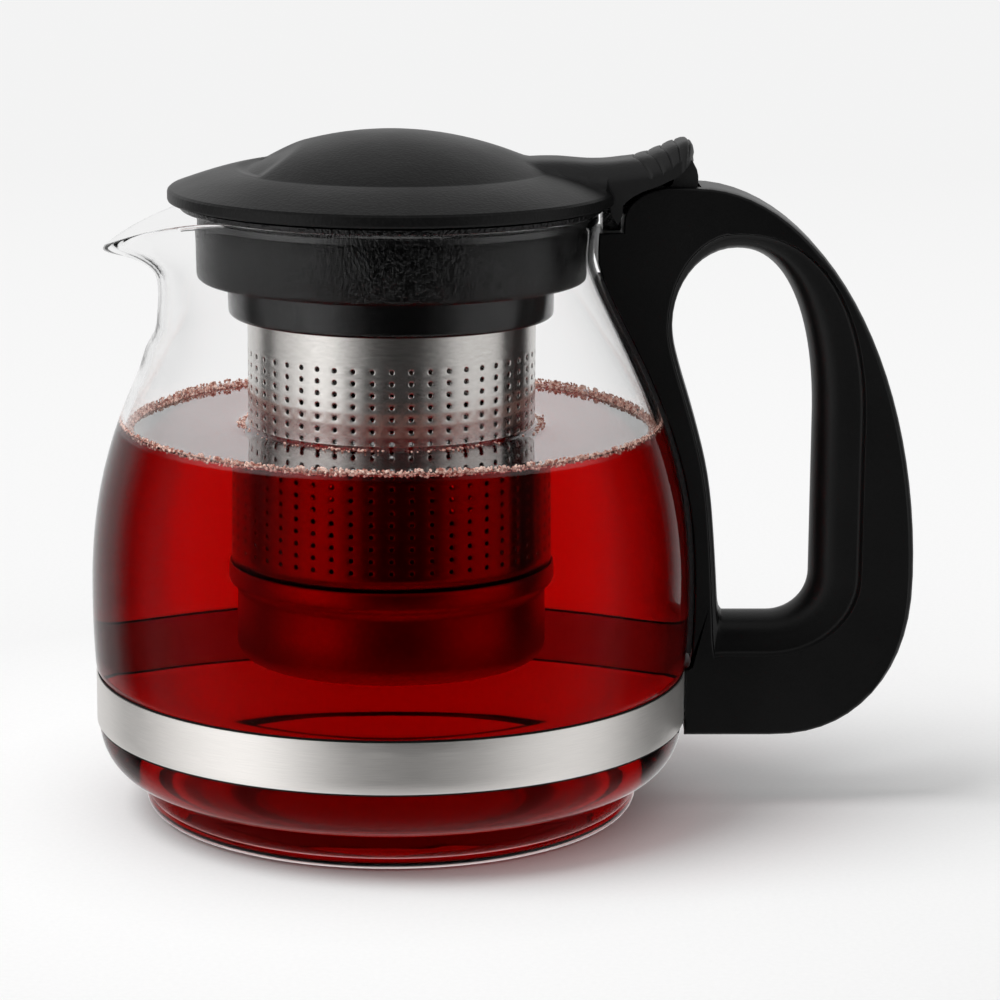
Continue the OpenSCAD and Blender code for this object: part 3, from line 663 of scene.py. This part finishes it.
def cut_out(target, cutters):
    """Cuts box and round tools out of a finished piece and keeps the result as its mesh."""
    tool_mesh = bpy.data.meshes.new("cutter")
    cutters.to_mesh(tool_mesh)
    cutters.free()
    tool = bpy.data.objects.new("cutter", tool_mesh)
    bpy.context.scene.collection.objects.link(tool)
    cut = target.modifiers.new("cut", "BOOLEAN")
    cut.operation, cut.solver, cut.object = "DIFFERENCE", "EXACT", tool
    graph = bpy.context.evaluated_depsgraph_get()
    result = bpy.data.meshes.new_from_object(target.evaluated_get(graph))
    target.modifiers.clear()
    target.data = result
    bpy.data.objects.remove(tool)


slots = bmesh.new()
box(slots, (0.05665, 0, 0.1408), (18.5, 11.8, 20), MM)
slot_floor = [e for e in slots.edges if abs(e.verts[0].co.z - e.verts[1].co.z) < 1e-6
              and e.verts[0].co.z < 0.135]
soften_edges(slots, slot_floor, 0.0006)
box(slots, (0.0657, -0.0012, 0.0255), (13.7, 6.6, 11.6), MM)
for radius, depth, y in ((0.00165, 0.014, 0.0018), (0.003, 0.004, 0.0075)):
    lying = Matrix.Translation((0.06855, y, 0.0255)) @ Matrix.Rotation(math.pi / 2, 4, "X")
    bmesh.ops.create_cone(slots, cap_ends=True, segments=32, radius1=radius, radius2=radius, depth=depth,
                          matrix=lying)
cut_out(handle, slots)
evened = handle.modifiers.new("even shading", "WEIGHTED_NORMAL")
evened.keep_sharp, evened.weight = True, 70
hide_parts("handle")


# ---- infuser collar ----
# The moulded collar that drops into the neck: grained outside, with a thin flange over the glass rim and a
# block that reaches out to the tongue which carries the lid's hinge.
collar_r, collar_low, flange_z, flange_r, collar_in = 41.7, 116.6, 131.8, 45.4, 38.0
collar_profile = [(collar_in, flange_z + 1.2), (collar_in, 125), (collar_in, collar_low + 2),
                  (35.0, collar_low + 2), (35.0, collar_low), (collar_r - 1.4, collar_low),
                  (collar_r - 0.55, collar_low + 0.12), (collar_r - 0.15, collar_low + 0.5),
                  (collar_r, collar_low + 1.2), (collar_r, 121), (collar_r, 126), (collar_r, 129.6),
                  (collar_r - 0.25, 129.9), (collar_r - 0.25, 130.5), (collar_r, 130.8),
                  (collar_r, flange_z), (flange_r - 0.2, flange_z), (flange_r, flange_z + 0.2),
                  (flange_r, flange_z + 1.0), (flange_r - 0.2, flange_z + 1.2)]
collar_bm = turned(collar_profile, 144)


def slab(bm, outline, low_y, high_y, soften):
    """Adds a flat block of the given side outline that reaches from low_y to high_y, with softened edges."""
    face = bm.faces.new([bm.verts.new((x, low_y, z)) for x, z in outline])
    out = bmesh.ops.extrude_face_region(bm, geom=[face])["geom"]
    raised = [g for g in out if isinstance(g, bmesh.types.BMVert)]
    bmesh.ops.translate(bm, verts=raised, vec=(0, high_y - low_y, 0))
    edges = {e for v in list(face.verts) + raised for e in v.link_edges}
    sharp = [e for e in edges if len(e.link_faces) == 2 and e.calc_face_angle() > math.radians(25)]
    soften_edges(bm, sharp, soften)


bracket = [(39, flange_z), (45, flange_z), (45, 127.6), (48.9, 127.6), (48.9, 131.2), (50.9, 131.2),
           (50.9, 133.0), (39, 133.0)]
tongue = [(49.4, 131.2), (60.66, 131.2), (61.9, 137.3), (62.1, 138.5), (61.85, 139.85), (61.05, 141.05),
          (59.85, 141.85), (58.5, 142.1), (57.1, 141.8), (55.9, 141.0), (54.9, 138.5), (49.4, 133.0)]
slab(collar_bm, bracket, -5.5, 5.5, 0.25)
slab(collar_bm, tongue, -2.7, 2.7, 0.2)
grained_black = moulded("grained_black_plastic", (0.0016, 0.0016, 0.0018), 0.25, 1350, 0.0002,
                        strength=0.8, specular=0.33, patches=0.01)
collar = piece("grained_collar", collar_bm, grained_black, "infuser", crease=40)
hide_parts("infuser_collar")


# ---- basket holder ----
# A smooth black ring that hangs from the collar's shelf and grips the rolled rim of the basket.
holder_profile = [(31.2, 108.7), (33.9, 108.7), (34.5, 108.82), (34.82, 109.15), (34.9, 109.7), (34.9, 113),
                  (34.9, 118.7), (37.6, 118.7), (37.7, 118.8), (37.7, 120.2), (37.6, 120.3), (34.0, 120.3),
                  (34.0, 118.15), (31.2, 118.15)]
gloss_black = moulded("smooth_ring_plastic", (0.0025, 0.0025, 0.0027), 0.17, 3000, 0.00001,
                      strength=0.2, specular=0.42, patches=0.02)
holder = piece("smooth_ring", turned(holder_profile, 144), gloss_black, "infuser", crease=50)
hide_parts("basket_holder")


# ---- basket sleeve ----
# Thin stainless sheet rolled into a tube and punched with 48 columns of small holes. It stands in the ring.
basket_r, columns, rows, pitch, first_z = 31.1, 48, 18, 2.5, 101.0
cell_w = 2 * math.pi * basket_r / columns
sleeve_bm = bmesh.new()
sheet_top, sheet_low = first_z + pitch / 2, first_z - (rows - 0.5) * pitch
thirds = (-1, -1 / 3, 1 / 3, 1)
corners = [(t, -1) for t in thirds] + [(1, t) for t in thirds[1:3]]
corners += [(-t, 1) for t in thirds] + [(-1, -t) for t in thirds[1:3]]
for row in range(rows):
    z = first_z - row * pitch
    loops = [[(cx * cell_w / 2, 0, z + cz * pitch / 2) for cx, cz in corners]]
    for radius, dip in ((0.78, 0.0), (0.6, 0.03), (0.45, 0.11)):
        turns = [math.atan2(cz, cx) for cx, cz in corners]
        loops.append([(radius * math.cos(t), -dip, z + radius * math.sin(t)) for t in turns])
    loft(sleeve_bm, loops)
for low, high, count in ((54.6, sheet_low, 1), (sheet_top, 118.2, 8)):
    for i in range(count):
        a, b = mix(low, high, i / count), mix(low, high, (i + 1) / count)
        verts = [sleeve_bm.verts.new((t * cell_w / 2, 0, a)) for t in thirds]
        edges = [sleeve_bm.edges.new(pair) for pair in zip(verts, verts[1:])]
        out = bmesh.ops.extrude_edge_only(sleeve_bm, edges=edges)["geom"]
        raised = [g for g in out if isinstance(g, bmesh.types.BMVert)]
        bmesh.ops.translate(sleeve_bm, verts=raised, vec=(0, 0, b - a))
for vert in sleeve_bm.verts:
    angle, r = vert.co.x / basket_r, basket_r + vert.co.y
    vert.co = (r * math.cos(angle), r * math.sin(angle), vert.co.z)
all_round(sleeve_bm, 2 * math.pi, columns)
bmesh.ops.remove_doubles(sleeve_bm, verts=sleeve_bm.verts, dist=0.01)
bmesh.ops.recalc_face_normals(sleeve_bm, faces=sleeve_bm.faces)
# Below the tea line the sleeve's steel is painted darker, a painted shade.
sheet_steel = brushed_steel("satin_sheet_steel", (0.64, 0.62, 0.595), 0.22, 14, 1800, 0.00001, 0.36)
sleeve = piece("punched_sleeve", sleeve_bm, sheet_steel, "infuser", crease=60, outward=False)
wall = sleeve.modifiers.new("sheet", "SOLIDIFY")
wall.thickness, wall.offset = 0.0004, -1
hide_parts("basket_sleeve")


# ---- basket cup ----
# A drawn stainless cup pressed onto the foot of the sleeve, with a rolled bead round its mouth.
# The cup lies below the tea, so all its steel is painted darker, a painted shade.
cup_steel = brushed_steel("drawn_cup_steel", (0.62, 0.61, 0.6), 0.34, 10, 2500, 0.000004, 0.5)
cup_profile = [(0, 34), (12, 34), (25.9, 34)] + quarter((25.9, 38), 4, 4, -90, 0, 8)[1:]
cup_profile += [(29.9, 43), (29.9, 48.2), (30.1, 49.3), (30.7, 50.1), (31.35, 50.6), (31.6, 51.3),
                (31.6, 53.6), (31.52, 54.2), (31.3, 54.5), (31.2, 54.3), (31.2, 51), (30.5, 50.5),
                (29.7, 49.5), (29.5, 48.2)]
cup_profile += quarter((25.9, 38), 3.6, 3.6, 0, -90, 8) + [(12, 34.4), (0, 34.4)]
cup_bm = turned(cup_profile, 128, ring=False)
cup = piece("drawn_cup", cup_bm, cup_steel, "infuser", crease=50)
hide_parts("basket_cup")


# ---- lid cover ----
# The moulded lid: a low dome on a sloping brim, drawn out into an arm whose ribbed end is the thumb lever,
# with two skirts that pass outside the handle's cheeks and lugs on the hinge pin.
lid_r, lid_low, edge_z, crease_r, crease_z, dome_z = 48.0, 133.5, 135.9, 34.0, 140.2, 148.3
pin_x, pin_z = 58.5, 138.5


def lid_top(r):
    """Height of the lid's upper face at this distance from its middle."""
    if r <= crease_r:
        return crease_z + (dome_z - crease_z) * (1 - (r / crease_r) ** 2)
    t = (r - crease_r) / (lid_r - 0.6 - crease_r)
    return crease_z - (crease_z - edge_z - 0.3) * (t ** 1.25)


lid_profile = [(0, 145.9)] + [(r, lid_top(r) - 2.2) for r in (8, 16, 24, 30, 33, 34)]
lid_profile += [(40, 136.6), (45.8, 135.0), (45.8, lid_low + 0.1), (46.0, lid_low), (47.5, lid_low),
                (47.85, lid_low + 0.1), (lid_r, 133.95), (lid_r, 135.35), (47.9, 135.75)]
brim_rs = [47.4, 46.6, 45.8, 45, 44, 43, 42, 41, 40, 39, 38, 37, 36, 35, 34.4, 34.05]
dome_rs = [33.95, 33.5, 33, 32, 31, 30, 29, 28, 26.5, 25, 23.5, 22, 20.5, 19, 17, 15, 13, 10, 7, 4, 2, 0]
lid_profile += [(r, lid_top(r)) for r in brim_rs + dome_rs]
lid_bm = turned(lid_profile, 224, ring=False)
arm_line = [(10, 144), (28, 142.3), (32, 142.6), (35.9, 142.6), (42.1, 142.1), (46, 142.2), (50.7, 142.8),
            (53.9, 143.5), (57.1, 144.8), (60, 146), (62.0, 146.7), (62.9, 146.8), (63.8, 146.3),
            (64.4, 145.3), (64.6, 143.9)]
skirt_line = [(28, 138.5), (44, 135.2), (45.9, 134.0), (46.1, 133.6), (46.6, 131.3), (47.9, 129.4),
              (48.85, 128.3), (48.9, 133.4), (50.3, 134.9), (53, 136.4), (56.4, 137.6), (60, 139.3),
              (63.3, 141.9), (64.6, 142.8)]
arm_half, rib_start, rib_pitch, arm_skin = 9.6, 51.6, 2.95, 1.8
crown_line = [(26, 2.2), (44, 4.1), (49, 4.0), (52, 3.4), (61, 3.4), (64.6, 2.0)]
lean_line = [(49.2, 0), (51.6, 3.4), (54.4, 2.9), (57.6, 1.9), (60.6, 0.5), (63.3, -0.5), (64.6, -0.6)]


def read_line(line, x):
    """Height of a broken line at x."""
    for (x0, z0), (x1, z1) in zip(line, line[1:]):
        if x <= x1:
            return mix(z0, z1, (x - x0) / (x1 - x0))
    return line[-1][1]


def arm_height(x, across):
    """Upper face of the arm and lever, across from -1 to 1: crowned, with five grooves across its end."""
    nearby = (-1.2, -0.6, 0, 0.6, 1.2) if x < 61 else (0,)
    z = sum(read_line(arm_line, x + d) for d in nearby) / len(nearby)
    z -= read_line(crown_line, x) * min(1.0, abs(across)) ** 5
    if rib_start - 0.5 < x < rib_start + 4 * rib_pitch + 0.5:
        phase = (x - rib_start) / rib_pitch % 1
        z -= 0.34 * math.exp(-(min(phase, 1 - phase) / 0.07) ** 2)
        if rib_start < x < rib_start + 3 * rib_pitch:
            z += 0.2 * math.sin(math.pi * phase)
    return z


def arm_side(x):
    """Half the width of the arm, which is rounded off in plan at its tip."""
    return arm_half * math.sqrt(1 - max(0.0, (x - 60.5) / 4.5) ** 2)


stations = [28, 30, 32, 34, 36, 38, 40, 42, 43.5, 44.8, 45.9, 46.1, 46.6, 47.3, 48.0, 48.88, 48.92, 49.4,
            49.9, 50.4, 50.8]
for k in range(5):
    groove = rib_start + rib_pitch * k
    stations += [groove + d for d in (-0.4, -0.28, -0.18, -0.09, 0.0, 0.09, 0.18, 0.28, 0.4)]
    stations += [groove + d for d in (0.7, 1.1, 1.5, 1.9, 2.25) if k < 4]
stations += [64.1, 64.3, 64.5, 64.6]
arm_loops = []
for x in stations:
    half = arm_side(x)
    sunk = 0.06 if x < 45.8 else 0.0
    lean = read_line(lean_line, x) if x > lean_line[0][0] else 0.0
    tops = [(x + lean * t * t, half * t, arm_height(x, t) - sunk) for t in [i / 10 - 1 for i in range(21)]]
    out, edge = x + lean, tops[0][2]
    low = min(read_line(skirt_line, out), edge - 0.5)
    rim = [(out, half, mix(edge, low, t)) for t in (0.25, 0.5, 0.75, 1.0)] + [(out, half - 1.3, low)]
    inner = half - 1.32
    ceiling = [(mix(x, out, t * t), inner * t, max(low + 0.02, arm_height(x, t) - arm_skin))
               for t in (1, 0.66, 0.34, 0, -0.34, -0.66, -1)]
    arm_loops.append(tops + rim + ceiling + [(x, -y, z) for x, y, z in reversed(rim)])
arm_bm = bmesh.new()
last = loft(arm_bm, arm_loops)
bmesh.ops.edgeloop_fill(arm_bm, edges=last)
bmesh.ops.edgeloop_fill(arm_bm, edges=[e for e in arm_bm.edges if e.is_boundary])
lid_black = moulded("matt_lid_plastic", (0.0044, 0.0044, 0.0045), 0.43, 1300, 0.00005,
                    strength=0.5, specular=0.17)
tree = lid_black.node_tree
parts = split(tree, point(tree))
# Painted sheen: the arm and lever are given a paler colour along their top.
past_dome = spread(tree, parts["X"], 0.024, 0.034, curve="SMOOTHSTEP")
on_arm = spread(tree, reckon(tree, "ABSOLUTE", parts["Y"]), 0.0108, 0.009, curve="SMOOTHSTEP")
painted_arm_sheen = reckon(tree, "MULTIPLY", past_dome, on_arm)
shader = tree.nodes["Principled BSDF"]
moulded_tone = shader.inputs["Base Color"].links[0].from_socket
feed(tree, shader, Base_Color=mixed(tree, painted_arm_sheen, moulded_tone, (0.016, 0.016, 0.0162, 1)))
piece("thumb_lever", arm_bm, lid_black, "lid", crease=34)


def into_arm(co):
    """Raises the lid's upper face to meet the arm, in a soft hollow beside it."""
    x, y, z = co
    r = math.hypot(x, y)
    if x < 18 or z < lid_top(r) - 0.6 or r > 47.2:
        return co
    soft = 0.6
    arm_z = arm_height(x, y / arm_half) - 6 * max(0.0, abs(y) / arm_half - 1)
    lap = max(0.0, 1 - abs(z - arm_z) / soft)
    return Vector((x, y, max(z, arm_z) + lap * lap * soft / 4 * min(1.0, (x - 18) / 8)))


def scooped(co):
    """Hollows out the shallow crescent at the dome's end away from the arm."""
    x, y, z = co
    r = math.hypot(x, y)
    if x > 0 or r > crease_r or z < lid_top(r) - 0.6:
        return co
    inside_by = min((crease_r - r) / 3.0, (27 - math.hypot(x + 45, y)) / 6.0)
    t = max(0.0, min(1.0, inside_by))
    return Vector((x, y, z - 1.5 * t * t * (3 - 2 * t)))


for vert in lid_bm.verts:
    vert.co = into_arm(scooped(vert.co))
lugs = []
for radius, turns in ((4.2, range(180, 281, 20)), (6.8, range(295, 391, 12))):
    lugs += [(pin_x + radius * math.cos(math.radians(a)), pin_z + radius * math.sin(math.radians(a)))
             for a in turns]
lugs += [(63.9, 142.7), (57.1, 142.9), (54.3, 141.6)]
for low_y in (-5.4, 3.0):
    slab(lid_bm, lugs, low_y, low_y + 2.4, 0.25)
lid = piece("lid_dome", lid_bm, lid_black, "lid", crease=20)
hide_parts("lid_cover")


# ---- lid liner ----
# A moulded plug pressed into the underside of the lid; its skirt centres the lid in the collar.
coat(moulded("matt_liner_plastic", (0.005, 0.005, 0.0052), 0.45, 1800, 0.00005), "lid_liner")


# ---- studio ----
# A pale seamless floor in a white room: a broad soft key from the upper left, a soft box reflected at each
# side, and a dark front. What mirrors the room sees past the floor, so that it keeps these bands of light.
floor_bm = bmesh.new()
bmesh.ops.create_grid(floor_bm, x_segments=1, y_segments=1, size=6.0)
floor_mesh = bpy.data.meshes.new("floor")
floor_bm.to_mesh(floor_mesh)
floor_bm.free()
floor = bpy.data.objects.new("floor", floor_mesh)
floor.location.z = -0.0003
bpy.context.scene.collection.objects.link(floor)
paper, tree, shader = finish_tree("pale_paper", Roughness=0.8, Specular_IOR_Level=0.0)
place = point(tree)
felt = between(tree, noise(tree, place, 900, 3), (0.845, 0.845, 0.845), (0.865, 0.865, 0.865))
away = add(tree, "VectorMath", {"operation": "LENGTH"}, i0=place).outputs["Value"]
# Painted light: the floor is paler close to the pot, which weakens the pot's shade there.
painted_light_near_pot = spread(tree, away, 0.1, 0.17, 1.1, 0.99)
far_off = spread(tree, away, 0.25, 1.2, 1.0, 0.94)
feed(tree, shader, Base_Color=scaled(tree, felt, reckon(tree, "MULTIPLY", painted_light_near_pot, far_off)))
path = add(tree, "LightPath").outputs
beyond = spread(tree, away, 0.075, 0.11, curve="SMOOTHSTEP")
through = reckon(tree, "MULTIPLY", path["Is Transmission Ray"], beyond)
passes = reckon(tree, "MAXIMUM", path["Is Glossy Ray"], through)
open_below = add(tree, "BsdfTransparent", Color=grey(1))
both = add(tree, "MixShader", Fac=passes, i1=shader.outputs[0], i2=open_below.outputs[0])
feed(tree, tree.nodes["Material Output"], Surface=both.outputs[0])
floor_mesh.materials.append(paper)
floor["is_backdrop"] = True

# How bright the room is all the way round, by heading in degrees from the front: dark in front, a soft box on
# either side, dark again beyond them, and a bright backdrop behind.
glow_round = [(-180, 0.88), (-171, 0.88), (-160, 0.86), (-147, 0.8), (-132, 0.74), (-123, 0.2),
              (-117, 0.06), (-110, 0.2), (-102, 0.6), (-90, 0.8), (-62, 1.38), (-48, 1.25), (-31, 0.5),
              (-17, 0.1), (0, 0.03), (22, 0.04), (38, 0.24), (52, 0.74), (68, 0.88), (90, 0.8), (106, 0.1),
              (114, 0.05), (127, 0.04), (134, 0.05), (141, 0.6), (148, 0.85), (161, 0.8), (170, 0.86),
              (180, 0.88)]
glow_top, above_glow, below_glow, ambient, backdrop, horizon_gain = 1.38, 0.42, 0.9, 0.65, 0.88, 0.02


def blend(tree, share, first, second):
    """A number between two others, by the share of the second."""
    return add(tree, "Mix", i0=share, i2=first, i3=second).outputs[0]


sun = bpy.data.lights.new("key", "SUN")
sun.energy, sun.angle = 1.76, math.radians(34)
key = bpy.data.objects.new("key", sun)
key.rotation_euler = Vector((-0.5, -0.14, 0.86)).to_track_quat("Z", "Y").to_euler()
key.visible_glossy = key.visible_transmission = False
bpy.context.scene.collection.objects.link(key)

world = bpy.data.worlds.new("studio")
world.cycles.sampling_method = "NONE"
bpy.context.scene.world = world
world.use_nodes = True
tree = world.node_tree
heading = split(tree, add(tree, "TexCoord").outputs["Generated"])
turn = reckon(tree, "ARCTAN2", heading["X"], reckon(tree, "MULTIPLY", heading["Y"], -1.0))
stops = [((degrees + 180) / 360, glow / glow_top) for degrees, glow in glow_round]
all_about = grey_ramp(tree, spread(tree, turn, -math.pi, math.pi), stops)
around = reckon(tree, "MULTIPLY", all_about, glow_top)
rising = spread(tree, heading["Z"], 0.02, 0.12, curve="SMOOTHSTEP")
lifted = reckon(tree, "MULTIPLY", around, reckon(tree, "MULTIPLY_ADD", rising, horizon_gain, 1.0))
behind = spread(tree, heading["Y"], 0.0, 0.6, curve="SMOOTHSTEP")
walls = blend(tree, behind, around, lifted)
down = spread(tree, heading["Z"], -0.35, -0.75, curve="SMOOTHSTEP")
up = spread(tree, heading["Z"], 0.42, 0.8, curve="SMOOTHSTEP")
room = blend(tree, up, blend(tree, down, walls, below_glow), above_glow)
path = add(tree, "LightPath").outputs
mirrored = reckon(tree, "MAXIMUM", path["Is Glossy Ray"], path["Is Transmission Ray"])
soft_light = reckon(tree, "MULTIPLY_ADD", heading["X"], -0.14, ambient)
looked_at = blend(tree, mirrored, soft_light, room)
level = blend(tree, path["Is Camera Ray"], looked_at, backdrop)
feed(tree, tree.nodes["Background"], Color=grey(1), Strength=level)


# ---- the end ----
# The box of everything shown, the floor left out, is measured.
low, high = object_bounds()
